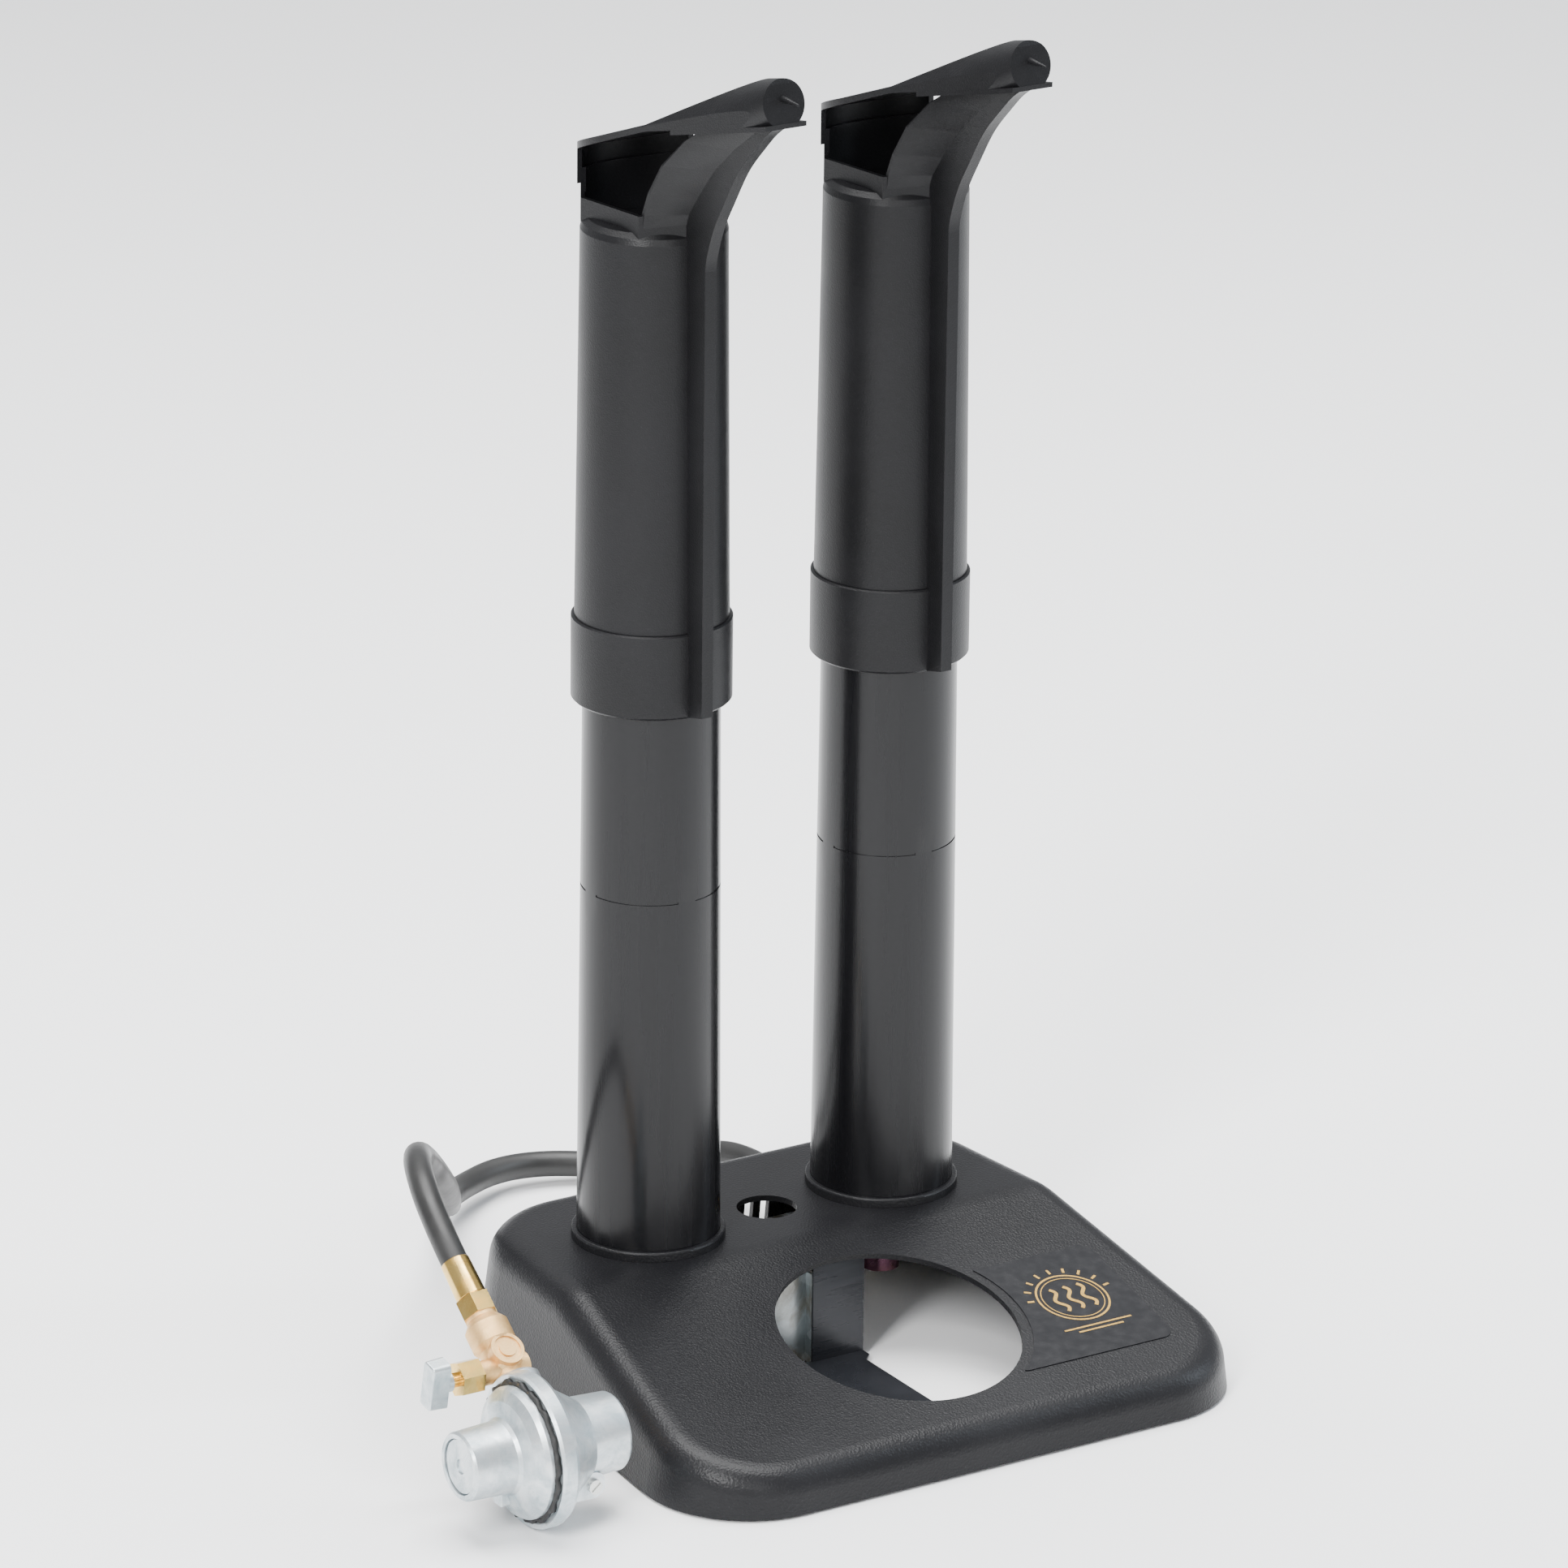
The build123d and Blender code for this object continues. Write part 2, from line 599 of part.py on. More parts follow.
with BuildPart() as hose_ferrule:
    add(turned([(0, 70.5), (5.9, 70.5), (6.4, 71.2), (6.1, FERRULE_END - 0.4),
                (5.8, FERRULE_END), (0, FERRULE_END)]))
save(hose_ferrule.part, "hose_ferrule")

with BuildPart() as hose_swivel:
    with BuildSketch(outlet.offset(62)):
        RegularPolygon(6.8, 6, major_radius=False)
    extrude(amount=8.5)
save(hose_swivel.part, "hose_swivel")

branch = Plane(origin=outlet.from_local_coords(Vector(0, 0, BRANCH_S)), x_dir=outlet.z_dir,
               z_dir=(-1, 0, 0))
boss = Plane(origin=outlet.from_local_coords(Vector(0, 0, TEE_S)), x_dir=(1, 0, 0), z_dir=-outlet.y_dir)
with BuildPart() as valve_body:
    add(turned([(0, NECK_END), (6.2, NECK_END), (6.2, 35), (7.6, 36.5), (7.6, 46), (9.2, 48.5), (9.2, 57),
                (6.6, 60.5), (6.6, 62), (0, 62)]))
    with BuildSketch(boss):
        Circle(7)
    extrude(amount=8.6)
    with BuildSketch(boss.offset(7.9)):
        Circle(5.6)
        Circle(3.6, mode=Mode.SUBTRACT)
    extrude(amount=2, mode=Mode.SUBTRACT)
    with BuildSketch(branch.offset(-9)):
        Circle(5.2)
    extrude(amount=9 + 13)
    with BuildSketch(branch.offset(8)):
        Circle(3)
    extrude(amount=8, mode=Mode.SUBTRACT)
save(valve_body.part, "valve_body")

with BuildPart() as gland_nut:
    with BuildSketch(branch.offset(13)):
        RegularPolygon(6.5, 6, major_radius=False)
        Circle(3, mode=Mode.SUBTRACT)
    extrude(amount=10)
save(gland_nut.part, "gland_nut")

with BuildPart() as valve_stem:
    with BuildSketch(branch.offset(9)):
        Circle(2.97)
    extrude(amount=17)
save(valve_stem.part, "valve_stem")

with BuildPart() as valve_knob:
    with BuildSketch(branch.offset(26)):
        Circle(4.2)
    extrude(amount=3)
    with BuildSketch(branch.offset(28.5)):
        RectangleRounded(9, 21, 2.2, rotation=26.7)
    extrude(amount=8, taper=3)
    fillet(valve_knob.edges().group_by(Axis.X)[0], 0.8)
save(valve_knob.part, "valve_knob")

# ---- Regulator, its axis along X ------------------------------------------------------------------------
across = axis_x(0, REG_Y, REG_RADIUS)
LUG = (-176.0, 17.5)
LUG_LENGTH = 26
LUG_SCREW = (-168.5, 17.5)
with BuildPart() as regulator_body:
    add(turned([(0, -191.5), (29, -191.5), (31.2, -192.3), (REG_RADIUS, -191), (REG_RADIUS, -186),
                (31, -184.4), (28, -184), (26.5, -182.5), (18.2, -170), (17, -168), (16.2, -152),
                (15.6, -151), (12.4, -151), (12.4, -172), (0, -172)], across))
    with BuildSketch(outlet.offset(16)):
        with Locations((1.6, 0)):
            Circle(10)
    extrude(amount=NECK_END - 17.5)
    with BuildSketch(outlet.offset(NECK_END - 1.5)):
        with Locations((1.6, 0)):
            Circle(10)
    extrude(amount=1.5, taper=45)
    with BuildSketch(Plane.XZ.offset(-REG_Y - 8)):
        with Locations(LUG):
            RectangleRounded(LUG_LENGTH, 11, 5.2)
    extrude(amount=23)
    with BuildSketch(Plane.XZ.offset(-REG_Y + 12)):
        with Locations(LUG_SCREW):
            Circle(1.6)
    extrude(amount=5, mode=Mode.SUBTRACT)
    with BuildSketch(axis_x(-172, REG_Y, REG_RADIUS)):
        Circle(12.4)
    extrude(amount=30, mode=Mode.SUBTRACT)
save(regulator_body.part, "regulator_body")

with BuildPart() as diaphragm:
    with BuildSketch(across.offset(-193.5)):
        Circle(28.6)
    extrude(amount=2)
save(diaphragm.part, "diaphragm")

with BuildPart() as regulator_bonnet:
    add(turned([(0, -193.5), (27.2, -193.5), (27.2, -195), (26, -197), (22, -199.5), (16, -201.5),
                (15, -203), (14.2, -221), (13.4, -222), (11.6, -222), (11.6, -219.6), (0, -219.6)],
               across))
    with BuildSketch(across.offset(-204)):
        with Locations((0, -17.5)):
            RectangleRounded(7, 6, 1)
    extrude(amount=8)
save(regulator_bonnet.part, "regulator_bonnet")

with BuildPart() as bonnet_cap:
    with BuildSketch(across.offset(-221.2)):
        Circle(11)
    extrude(amount=1.6)
    with BuildSketch(across.offset(-221.2)):
        Circle(3.2)
    extrude(amount=0.8, mode=Mode.SUBTRACT)
save(bonnet_cap.part, "bonnet_cap")

with BuildPart() as inlet_seal:
    with BuildSketch(across.offset(-172)):
        Circle(11.5)
        Circle(5, mode=Mode.SUBTRACT)
    extrude(amount=2.5)
save(inlet_seal.part, "inlet_seal")

with BuildPart() as inlet_pin:
    add(turned([(0, -172), (3.6, -172), (3.6, -166), (2, -165), (2, -147), (2.6, -146.5), (2.6, -144.6),
                (2, -144), (0, -144)], across))
save(inlet_pin.part, "inlet_pin")

with BuildPart() as regulator_screw:
    with BuildSketch(Plane.XZ.offset(-REG_Y + 12)):
        with Locations(LUG_SCREW):
            Circle(1.6)
    extrude(amount=3)
    with BuildSketch(Plane.XZ.offset(-REG_Y + 15)):
        with Locations(LUG_SCREW):
            Circle(3)
    extrude(amount=2)
    with BuildSketch(Plane.XZ.offset(-REG_Y + 16)):
        with Locations(LUG_SCREW):
            Rectangle(5, 0.9, rotation=40)
    extrude(amount=1, mode=Mode.SUBTRACT)
save(regulator_screw.part, "regulator_screw")
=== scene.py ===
import json
import math
import bmesh
import bpy
from mathutils import Matrix, Vector


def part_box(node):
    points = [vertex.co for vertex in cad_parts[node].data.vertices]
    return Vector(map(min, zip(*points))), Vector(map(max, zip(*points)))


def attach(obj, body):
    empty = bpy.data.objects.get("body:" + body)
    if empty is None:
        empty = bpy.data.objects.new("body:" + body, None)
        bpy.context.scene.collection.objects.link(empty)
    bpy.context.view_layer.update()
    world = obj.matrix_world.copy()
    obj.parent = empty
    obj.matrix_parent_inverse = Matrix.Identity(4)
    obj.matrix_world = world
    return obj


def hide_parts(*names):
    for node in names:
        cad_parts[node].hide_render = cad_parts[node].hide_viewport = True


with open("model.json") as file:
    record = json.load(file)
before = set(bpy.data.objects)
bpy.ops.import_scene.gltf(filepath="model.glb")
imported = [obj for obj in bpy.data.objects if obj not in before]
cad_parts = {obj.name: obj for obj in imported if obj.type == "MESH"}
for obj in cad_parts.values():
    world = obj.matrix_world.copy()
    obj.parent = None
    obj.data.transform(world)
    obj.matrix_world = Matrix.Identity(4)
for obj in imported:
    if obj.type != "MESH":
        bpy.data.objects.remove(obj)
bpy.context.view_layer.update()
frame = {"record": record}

BODY = "base"


# ---- Camera ---------------------------------------------------------------------------------------
def make_camera():
    azimuth, pitch, roll = (math.radians(v) for v in (-32.44, 19.678, 0.658))
    back = Vector((math.sin(azimuth) * math.cos(pitch), -math.cos(azimuth) * math.cos(pitch),
                   math.sin(pitch)))
    right = Vector((math.cos(azimuth), math.sin(azimuth), 0))
    up = back.cross(right)
    cam_x = right * math.cos(roll) + up * math.sin(roll)
    cam_y = up * math.cos(roll) - right * math.sin(roll)
    data = bpy.data.cameras.new("camera")
    data.lens = 202.48
    data.sensor_width = 36
    data.clip_end = 60
    camera = bpy.data.objects.new("camera", data)
    bpy.context.scene.collection.objects.link(camera)
    aim = Vector((-0.02183, 0.01008, 0.25861))
    distance = 3.5851
    place = aim + back * distance
    matrix = Matrix((cam_x, cam_y, back)).transposed().to_4x4()
    matrix.translation = place
    camera.matrix_world = matrix
    bpy.context.scene.camera = camera


make_camera()


# ---- Node helpers ---------------------------------------------------------------------------------
class Paint:
    """A material under construction: a Principled shader and what feeds it."""

    def __init__(self, name, **sockets):
        self.mat = bpy.data.materials.new(name)
        self.mat.use_nodes = True
        self.tree = self.mat.node_tree
        self.bsdf = next(n for n in self.tree.nodes if n.type == "BSDF_PRINCIPLED")
        for key, value in sockets.items():
            self.bsdf.inputs[key.replace("_", " ")].default_value = value
        self.coords = self.tree.nodes.new("ShaderNodeTexCoord").outputs["Object"]

    def node(self, kind, **inputs):
        made = self.tree.nodes.new(kind)
        for key, value in inputs.items():
            self.feed(made.inputs[key.replace("_", " ")], value)
        return made

    def feed(self, socket, value):
        if isinstance(value, bpy.types.NodeSocket):
            self.tree.links.new(value, socket)
        else:
            socket.default_value = value

    def stretch(self, scale):
        made = self.node("ShaderNodeMapping", Vector=self.coords)
        made.inputs["Scale"].default_value = scale
        return made.outputs[0]

    def noise(self, scale, detail=3.0, rough=0.5, vector=None, twist=0.0):
        made = self.node("ShaderNodeTexNoise", Vector=vector or self.coords, Scale=scale, Detail=detail,
                         Roughness=rough, Distortion=twist)
        return made.outputs["Fac"]

    def cells(self, scale, feature="F1", vector=None, output="Distance"):
        made = self.node("ShaderNodeTexVoronoi", Vector=vector or self.coords, Scale=scale)
        made.feature = feature
        return made.outputs[output]

    def math(self, kind, a, b=0.0, clamp=False):
        made = self.tree.nodes.new("ShaderNodeMath")
        made.operation = kind
        made.use_clamp = clamp
        self.feed(made.inputs[0], a)
        self.feed(made.inputs[1], b)
        return made.outputs[0]

    def span(self, value, low, high, to_low, to_high):
        made = self.node("ShaderNodeMapRange", Value=value)
        for key, number in (("From Min", low), ("From Max", high), ("To Min", to_low), ("To Max", to_high)):
            made.inputs[key].default_value = number
        return made.outputs[0]

    def ramp(self, value, stops):
        made = self.node("ShaderNodeValToRGB", Fac=value)
        ramp = made.color_ramp
        while len(ramp.elements) < len(stops):
            ramp.elements.new(0.5)
        for element, (place, color) in zip(ramp.elements, stops):
            element.position = place
            element.color = (*color, 1)
        return made.outputs["Color"]

    def mix(self, factor, a, b):
        made = self.tree.nodes.new("ShaderNodeMix")
        made.data_type = "RGBA"
        self.feed(made.inputs["Factor"], factor)
        colors = [s for s in made.inputs if s.type == "RGBA"]
        self.feed(colors[0], a)
        self.feed(colors[1], b)
        return next(s for s in made.outputs if s.type == "RGBA")

    def bump(self, *layers):
        normal = None
        for height, strength, distance in layers:
            made = self.node("ShaderNodeBump", Height=height, Strength=strength, Distance=distance)
            if normal:
                self.tree.links.new(normal, made.inputs["Normal"])
            normal = made.outputs["Normal"]
        self.tree.links.new(normal, self.bsdf.inputs["Normal"])

    def color(self, value):
        self.feed(self.bsdf.inputs["Base Color"], value)

    def rough(self, value):
        self.feed(self.bsdf.inputs["Roughness"], value)

    def axes(self):
        made = self.node("ShaderNodeSeparateXYZ", Vector=self.coords)
        return made.outputs


def moulded(name, color, lighter, rough_low, rough_high, pebble, strength, seed_scale=14.0, gloss=0.2):
    """Black moulded plastic: pebbled skin, slight wear and dust, uneven gloss, and light specks painted into
    the colour as sparkle highlights.
    """
    paint = Paint(name, Specular_IOR_Level=gloss)
    grain = paint.cells(pebble, "SMOOTH_F1")
    fine = paint.noise(pebble * 2.2, 2.0)
    cloud = paint.noise(seed_scale, 4.0, 0.6)
    # light specks mixed into the base colour: painted sparkle highlights, not dust
    painted_sparkle_specks = paint.span(paint.noise(pebble * 0.9, 2.0, 0.7), 0.62, 0.76, 0.0, 1.0)
    shade = paint.mix(paint.span(cloud, 0.35, 0.75, 0.0, 0.6), (*color, 1), (*lighter, 1))
    paint.color(paint.mix(paint.math("MULTIPLY", painted_sparkle_specks, 0.5), shade, (*[c * 2.4 for c in lighter], 1)))
    paint.rough(paint.span(paint.math("ADD", cloud, paint.math("MULTIPLY", fine, 0.5)), 0.4, 1.1,
                           rough_low, rough_high))
    paint.bump((grain, strength, 0.00035), (fine, strength * 0.6, 0.00012), (cloud, 0.05, 0.002))
    return paint


def make_materials():
    made = {}
    base = moulded("base_pebbled", (0.0075, 0.0075, 0.0085), (0.013, 0.013, 0.0145), 0.30, 0.46, 1150, 0.42)
    made["base_plastic"] = base.mat
    port = moulded("port_satin", (0.006, 0.006, 0.0066), (0.010, 0.010, 0.0115), 0.33, 0.45, 1900, 0.22,
                   18.0)
    made["port_plastic"] = port.mat

    tube = Paint("tube_gloss", Specular_IOR_Level=0.24, Coat_Weight=0.05, Coat_Roughness=0.12)
    streak = tube.noise(1.0, 4.0, 0.6, tube.stretch((160, 160, 7)))
    scuff = tube.span(tube.noise(1.0, 5.0, 0.7, tube.stretch((420, 420, 22))), 0.6, 0.78, 0.0, 1.0)
    tube.color(tube.mix(tube.math("MULTIPLY", scuff, 0.5), (0.0046, 0.0046, 0.0054, 1),
                        (0.011, 0.0105, 0.011, 1)))
    tube.rough(tube.span(streak, 0.3, 0.75, 0.20, 0.33))
    tube.bump((streak, 0.06, 0.0006), (tube.noise(900, 2.0), 0.05, 0.0001))
    made["tube_plastic"] = tube.mat

    label = Paint("label_film", Coat_Weight=0.6, Coat_Roughness=0.05)
    film = label.noise(220, 3.0)
    label.color(label.mix(film, (0.004, 0.004, 0.005, 1), (0.007, 0.007, 0.009, 1)))
    label.rough(label.span(film, 0.3, 0.7, 0.12, 0.22))
    label.bump((label.noise(60, 2.0), 0.04, 0.001),)
    made["label_gloss"] = label.mat

    gold = Paint("gold_print", Metallic=0.85)
    wear = gold.noise(900, 4.0, 0.7)
    gold.color(gold.mix(gold.span(wear, 0.45, 0.7, 0.0, 1.0), (0.58, 0.36, 0.09, 1), (0.30, 0.18, 0.05, 1)))
    gold.rough(gold.span(wear, 0.3, 0.7, 0.32, 0.5))
    made["gold"] = gold.mat

    for name, low, high, scale in (("rubber", 0.5, 0.7, 1400), ("hose_rubber", 0.36, 0.52, 1700)):
        rubber = Paint(name + "_skin", Specular_IOR_Level=0.4)
        skin = rubber.noise(scale, 3.0, 0.6)
        bloom = rubber.noise(55, 4.0, 0.6)
        rubber.color(rubber.mix(bloom, (0.010, 0.010, 0.010, 1), (0.026, 0.0255, 0.025, 1)))
        rubber.rough(rubber.span(bloom, 0.3, 0.7, low, high))
        rubber.bump((skin, 0.25, 0.0002), (bloom, 0.08, 0.0008))
        made[name] = rubber.mat

    dark = Paint("dark_sheet", Metallic=0.35)
    sheet = dark.noise(1.0, 4.0, 0.6, dark.stretch((30, 30, 240)))
    dark.color(dark.mix(sheet, (0.012, 0.013, 0.016, 1), (0.035, 0.037, 0.043, 1)))
    dark.rough(dark.span(sheet, 0.3, 0.7, 0.22, 0.38))
    dark.bump((sheet, 0.08, 0.0005),)
    made["dark_steel"] = dark.mat

    zincsheet = Paint("galvanised_sheet", Metallic=0.9)
    spangle = zincsheet.node("ShaderNodeTexVoronoi", Vector=zincsheet.coords, Scale=170.0)
    tone = zincsheet.node("ShaderNodeSeparateColor", Color=spangle.outputs["Color"]).outputs[0]
    stain = zincsheet.span(zincsheet.noise(38, 5.0, 0.6, twist=0.6), 0.47, 0.66, 0.0, 1.0)
    metal = zincsheet.mix(tone, (0.40, 0.44, 0.45, 1), (0.66, 0.70, 0.71, 1))
    zincsheet.color(zincsheet.mix(stain, metal, (0.20, 0.15, 0.08, 1)))
    zincsheet.rough(zincsheet.math("ADD", zincsheet.span(tone, 0, 1, 0.28, 0.42),
                                   zincsheet.math("MULTIPLY", stain, 0.15)))
    zincsheet.bump((zincsheet.noise(90, 3.0), 0.08, 0.0008),)
    made["galvanised"] = zincsheet.mat

    burner = Paint("heat_tinted_steel", Metallic=0.9)
    height = burner.math("ADD", burner.span(burner.axes()[2], 0.012, 0.075, 0.0, 0.85),
                         burner.span(burner.noise(90, 4.0, 0.6, twist=0.8), 0.3, 0.7, -0.08, 0.2))
    burner.color(burner.ramp(height, [(0.0, (0.20, 0.10, 0.10)), (0.22, (0.13, 0.055, 0.09)),
                                      (0.45, (0.28, 0.17, 0.15)), (0.7, (0.11, 0.09, 0.17)),
                                      (1.0, (0.20, 0.13, 0.07))]))
    burner.rough(burner.span(burner.noise(300, 3.0), 0.3, 0.7, 0.24, 0.4))
    burner.bump((burner.noise(500, 3.0), 0.1, 0.0002),)
    made["burner_steel"] = burner.mat

    screw = Paint("plated_steel", Metallic=1.0)
    film = screw.noise(500, 3.0)
    screw.color(screw.mix(film, (0.52, 0.53, 0.52, 1), (0.75, 0.75, 0.72, 1)))
    screw.rough(screw.span(film, 0.3, 0.7, 0.2, 0.34))
    screw.bump((film, 0.06, 0.0001),)
    made["screw_steel"] = screw.mat

    brass = Paint("machined_brass", Metallic=1.0)
    turned = brass.noise(1.0, 3.0, 0.6, brass.stretch((700, 2600, 2600)))
    tarnish = brass.noise(120, 5.0, 0.65, twist=0.4)
    shade = brass.mix(brass.span(tarnish, 0.4, 0.7, 0.0, 1.0), (0.86, 0.60, 0.20, 1), (0.66, 0.40, 0.10, 1))
    brass.color(shade)
    brass.rough(brass.span(tarnish, 0.3, 0.7, 0.13, 0.27))
    brass.bump((turned, 0.10, 0.00008), (tarnish, 0.05, 0.0006))
    made["brass"] = brass.mat

    cast = Paint("cast_brass", Metallic=0.85)
    sand = cast.noise(1500, 4.0, 0.7)
    blotch = cast.noise(140, 5.0, 0.65, twist=0.5)
    cast.color(cast.mix(cast.span(blotch, 0.35, 0.7, 0.0, 1.0), (0.84, 0.56, 0.26, 1),
                        (0.62, 0.36, 0.13, 1)))
    cast.rough(cast.span(sand, 0.3, 0.7, 0.38, 0.56))
    cast.bump((sand, 0.35, 0.00025), (blotch, 0.12, 0.0008))
    made["cast_brass"] = cast.mat

    zinc = Paint("die_cast_zinc", Metallic=0.85)
    blotch = zinc.noise(85, 6.0, 0.62, twist=0.7)
    flow = zinc.noise(1.0, 4.0, 0.6, zinc.stretch((60, 190, 190)))
    pit = zinc.span(zinc.noise(620, 4.0, 0.75), 0.66, 0.78, 0.0, 1.0)
    tone = zinc.mix(zinc.span(blotch, 0.38, 0.66, 0.0, 1.0), (0.66, 0.70, 0.72, 1), (0.38, 0.45, 0.48, 1))
    tone = zinc.mix(zinc.span(flow, 0.5, 0.7, 0.0, 0.45), tone, (0.80, 0.82, 0.81, 1))
    zinc.color(zinc.mix(zinc.math("MULTIPLY", pit, 0.75), tone, (0.16, 0.17, 0.18, 1)))
    zinc.rough(zinc.span(blotch, 0.3, 0.7, 0.30, 0.50))
    zinc.bump((pit, 0.2, 0.0002), (flow, 0.12, 0.0007), (zinc.noise(900, 2.0), 0.12, 0.0001))
    made["zinc"] = zinc.mat
    return made


materials = make_materials()
slots = {entry["node"]: entry["material_slot"] for entry in frame["record"]["subparts"]}
for node, slot in slots.items():
    obj = bpy.data.objects.get(node)
    if obj is None:
        continue
    for place in obj.material_slots:
        place.material = materials[slot]
    if not obj.material_slots:
        obj.data.materials.append(materials[slot])


def add_piece(name, data, slot, material=None):
    piece = bpy.data.objects.new(name, data)
    bpy.context.scene.collection.objects.link(piece)
    piece.data.materials.append(materials[material or slot])
    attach(piece, BODY)
    return piece


def mesh_from(name, build, smooth=True):
    data = bpy.data.meshes.new(name)
    bm = bmesh.new()
    build(bm)
    bmesh.ops.recalc_face_normals(bm, faces=bm.faces)
    for face in bm.faces:
        face.smooth = smooth
    bm.to_mesh(data)
    bm.free()
    return data


# ---- Gas hose ---------------------------------------------------------------------------------------
HOSE = [(0.0576, 0.150, 0.025), (0.0576, 0.168, 0.025), (0.052, 0.192, 0.018), (0.033, 0.219, 0.007),
        (-0.014, 0.242, 0.010), (-0.060, 0.218, 0.013), (-0.079, 0.184, 0.023), (-0.111, 0.130, 0.058),
        (-0.152, 0.083, 0.100), (-0.174, 0.046, 0.110), (-0.183, 0.016875, 0.100030),
        (-0.183, -0.000461, 0.086486)]
HOSE_DIAMETER = 0.0114


def make_hose():
    curve = bpy.data.curves.new("hose_line", "CURVE")
    curve.dimensions = "3D"
    curve.bevel_depth = HOSE_DIAMETER / 2
    curve.bevel_resolution = 8
    curve.resolution_u = 24
    curve.use_fill_caps = True
    line = curve.splines.new("NURBS")
    line.points.add(len(HOSE) - 1)
    for point, place in zip(line.points, HOSE):
        point.co = (*place, 1)
    line.order_u = 3
    line.use_endpoint_u = True
    return curve


hose = add_piece("hose_skin", make_hose(), "hose_rubber")
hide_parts("gas_hose")


# ---- Printed emblem on the label ----------------------------------------------------------------------
label_low, label_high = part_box("label_panel")
label_mid = [(a + b) / 2 for a, b in zip(label_low, label_high)]
label_tilt = math.atan2(label_high[2] - label_low[2] - 0.0004, label_high[1] - label_low[1])


def on_label(u, v, lift=0.00028):
    """A point of the label's face: u to the right, v up the slope, from the label's middle."""
    normal = Vector((0, -math.sin(label_tilt), math.cos(label_tilt)))
    return Vector((label_mid[0] + u, label_mid[1] + v * math.cos(label_tilt),
                   label_mid[2] + v * math.sin(label_tilt))) + normal * lift


def ribbon(bm, points, width, closed=False):
    """A flat line of print with a little thickness."""
    count = len(points)
    pairs = []
    for i, (u, v) in enumerate(points):
        before = points[i - 1] if (i or closed) else points[i]
        after = points[(i + 1) % count] if (i < count - 1 or closed) else points[i]
        du, dv = after[0] - before[0], after[1] - before[1]
        size = math.hypot(du, dv) or 1.0
        nu, nv = -dv / size * width / 2, du / size * width / 2
        pairs.append((bm.verts.new(on_label(u + nu, v + nv)), bm.verts.new(on_label(u - nu, v - nv))))
    for i in range(count if closed else count - 1):
        a, b = pairs[i], pairs[(i + 1) % count]
        bm.faces.new((a[0], a[1], b[1], b[0]))


def emblem(bm):
    # a plain sun over rising warm air
    cu, cv = 0.010, 0.003
    for radius, width in ((0.0155, 0.0009), (0.0135, 0.00045)):
        ribbon(bm, [(cu + radius * math.cos(i * math.tau / 72), cv + radius * math.sin(i * math.tau / 72))
                    for i in range(72)], width, True)
    for wave in range(3):
        u0 = cu + (wave - 1) * 0.0068
        ribbon(bm, [(u0 + 0.0016 * math.sin(t * math.tau / 14), cv - 0.0078 + t * 0.00075)
                    for t in range(22)], 0.0016)
    for ray in range(9):
        angle = math.pi * (ray + 0.5) / 9
        ribbon(bm, [(cu + r * math.cos(angle), cv + r * math.sin(angle)) for r in (0.0175, 0.0205)], 0.0011)
    for row, half in ((-0.0195, 0.0165), (-0.0222, 0.011)):
        ribbon(bm, [(cu - half, cv + row), (cu + half, cv + row)], 0.0009)


add_piece("label_print", mesh_from("label_print", emblem, False), "brass", "gold")

# ---- Diaphragm edge, wavy where it is squeezed between the two castings ------------------------------
plate_low, plate_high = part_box("diaphragm")
reg_y = (plate_low[1] + plate_high[1]) / 2
reg_z = (plate_low[2] + plate_high[2]) / 2


def wavy_edge(bm):
    count = 180
    rings = []
    for x, inner in ((plate_low[0], 0), (plate_low[0], 1), (plate_high[0], 1), (plate_high[0], 0)):
        ring = []
        for i in range(count):
            a = i * math.tau / count
            out = 0.0288 + 0.0006 * math.sin(a * 17 + 0.8) + 0.0004 * math.sin(a * 29)
            radius = out if inner else 0.0262
            sway = 0.00035 * math.sin(a * 23) if inner else 0
            ring.append(bm.verts.new((x + sway, reg_y + radius * math.cos(a), reg_z + radius * math.sin(a))))
        rings.append(ring)
    for k in range(4):
        a, b = rings[k], rings[(k + 1) % 4]
        for i in range(count):
            j = (i + 1) % count
            bm.faces.new((a[i], a[j], b[j], b[i]))


diaphragm = add_piece("diaphragm_edge", mesh_from("diaphragm_edge", wavy_edge), "rubber")
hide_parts("diaphragm")

# ---- Thread inside the cylinder socket --------------------------------------------------------------
body_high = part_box("regulator_body")[1]


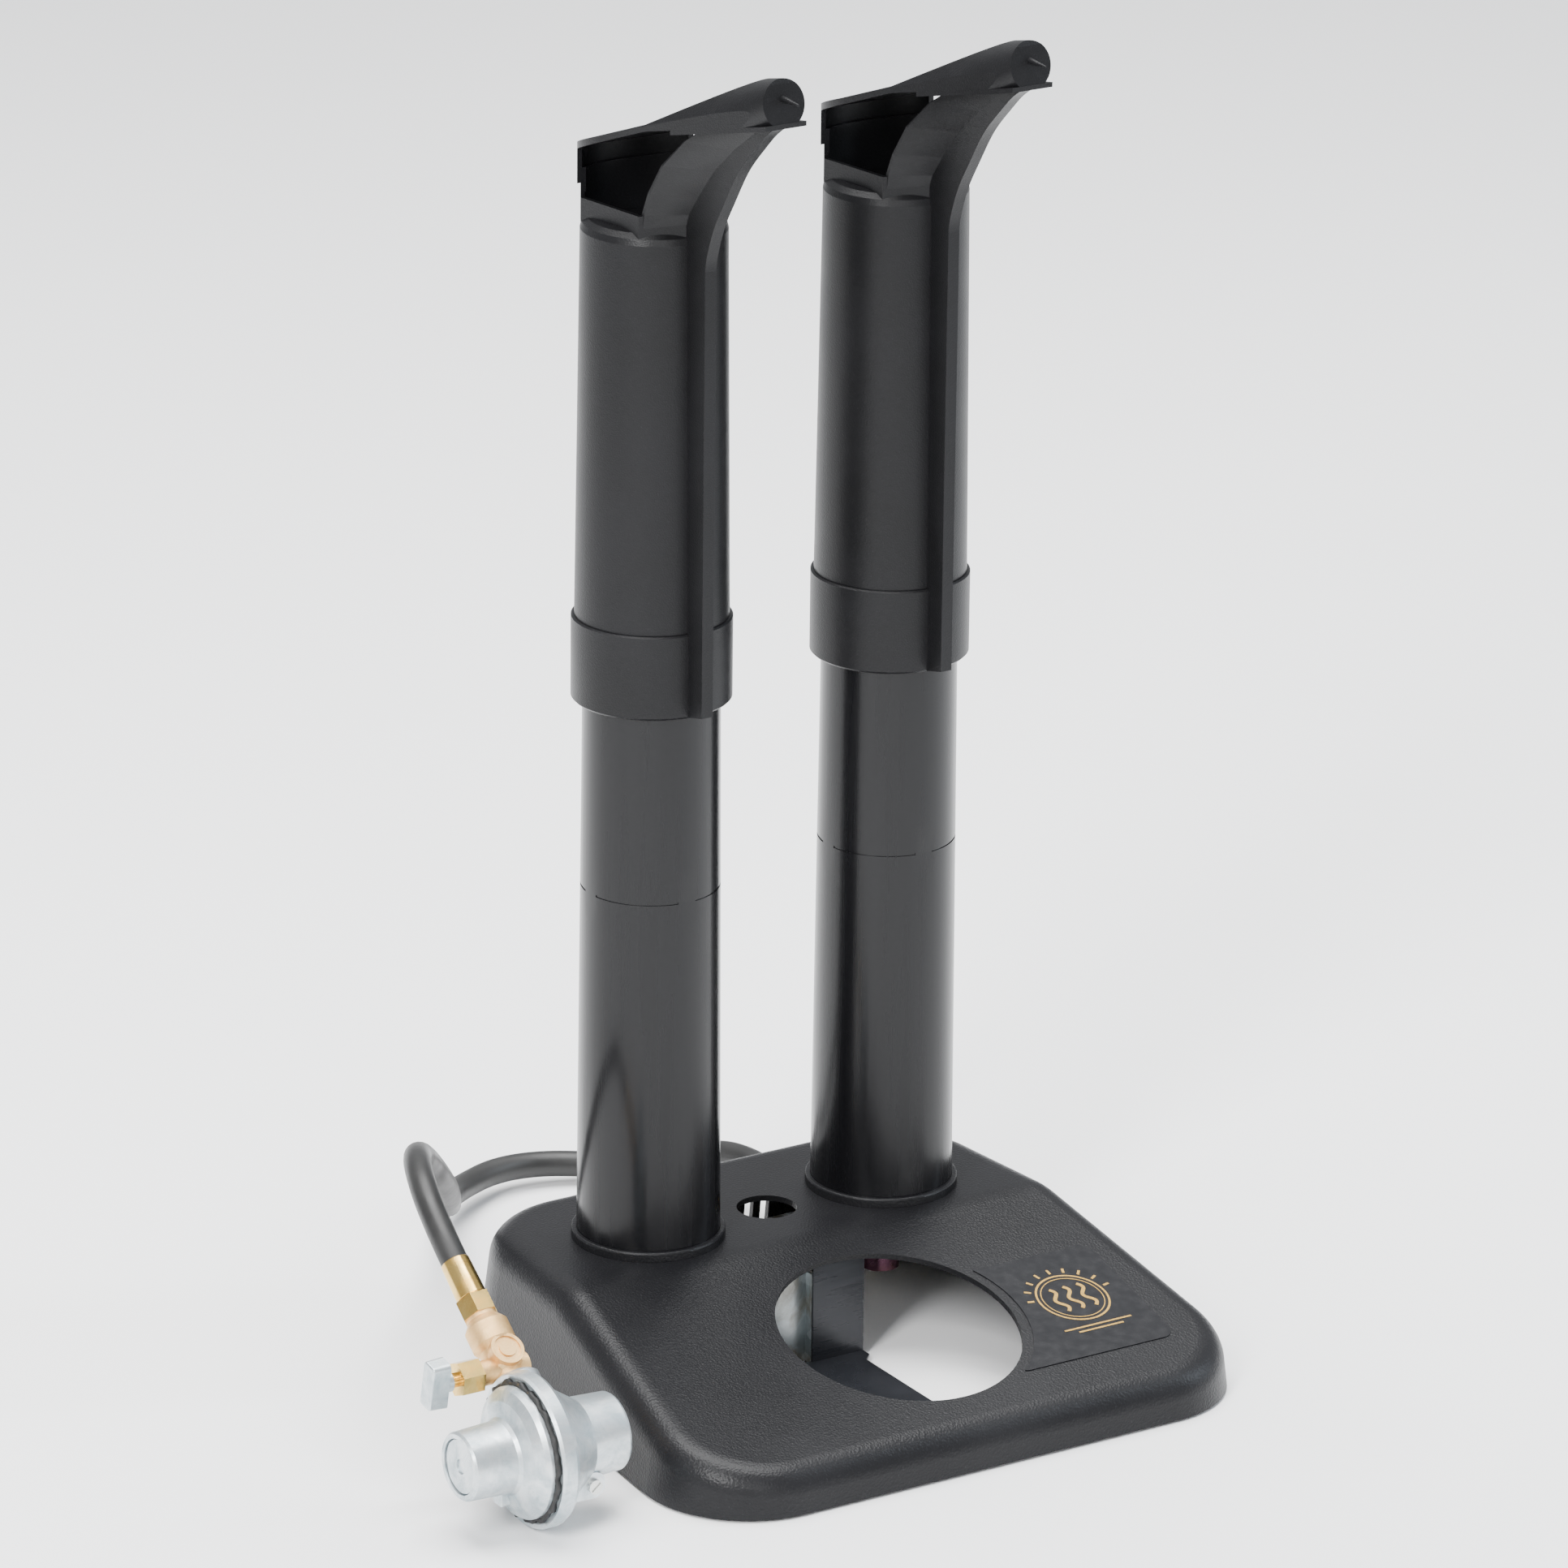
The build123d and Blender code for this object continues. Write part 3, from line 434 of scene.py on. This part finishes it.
def socket_thread(bm):
    turns, steps = 11, 48
    pitch = 0.00127
    rings = []
    for i in range(turns * steps + 1):
        a = i * math.tau / steps
        x = body_high[0] - 0.0006 - i * pitch / steps
        fade = min(1.0, i / steps, (turns * steps - i) / steps)
        ring = []
        for dx, deep in ((-0.00055, 0.0), (0.0, 0.0007 * fade), (0.00055, 0.0)):
            radius = 0.01242 - deep
            ring.append(bm.verts.new((x + dx, reg_y + radius * math.cos(a), reg_z + radius * math.sin(a))))
        rings.append(ring)
    for a, b in zip(rings, rings[1:]):
        for k in range(2):
            bm.faces.new((a[k], a[k + 1], b[k + 1], b[k]))


thread = add_piece("socket_thread", mesh_from("socket_thread", socket_thread), "zinc")


# ---- Floor and light ---------------------------------------------------------------------------------
def make_stage():
    paint = Paint("pale_floor", Specular_IOR_Level=0.2)
    paint.color(paint.mix(paint.noise(6, 2.0), (0.90, 0.90, 0.905, 1), (0.92, 0.92, 0.92, 1)))
    paint.rough(0.8)
    data = mesh_from("floor", lambda bm: bmesh.ops.create_grid(bm, x_segments=8, y_segments=8, size=15),
                     False)
    floor = bpy.data.objects.new("floor", data)
    bpy.context.scene.collection.objects.link(floor)
    floor.data.materials.append(paint.mat)
    floor.location.z = -0.0002

    world = bpy.data.worlds.new("studio")
    bpy.context.scene.world = world
    world.use_nodes = True
    sky = world.node_tree.nodes["Background"]
    sky.inputs["Color"].default_value = (0.95, 0.97, 1.0, 1)
    sky.inputs["Strength"].default_value = 0.62

    def lamp(name, place, aim, size, size_y, power, color=(1, 1, 1)):
        light = bpy.data.lights.new(name, "AREA")
        light.shape = "RECTANGLE"
        light.size = size
        light.size_y = size_y
        light.energy = power
        light.color = color
        obj = bpy.data.objects.new(name, light)
        bpy.context.scene.collection.objects.link(obj)
        obj.location = place
        obj.rotation_euler = (Vector(aim) - Vector(place)).to_track_quat("-Z", "Y").to_euler()

    lamp("key_left", (-1.9, -1.2, 1.7), (0, 0, 0.2), 0.5, 1.3, 85)
    lamp("fill_right", (2.3, -1.0, 1.5), (0, 0, 0.25), 0.25, 1.7, 36, (0.80, 0.90, 1.0))
    lamp("top", (0.1, 0.4, 2.6), (0, 0, 0), 2.2, 2.2, 210)
    lamp("front_low", (-0.9, -2.6, 1.3), (0, 0, 0.1), 1.2, 0.7, 22)


make_stage()
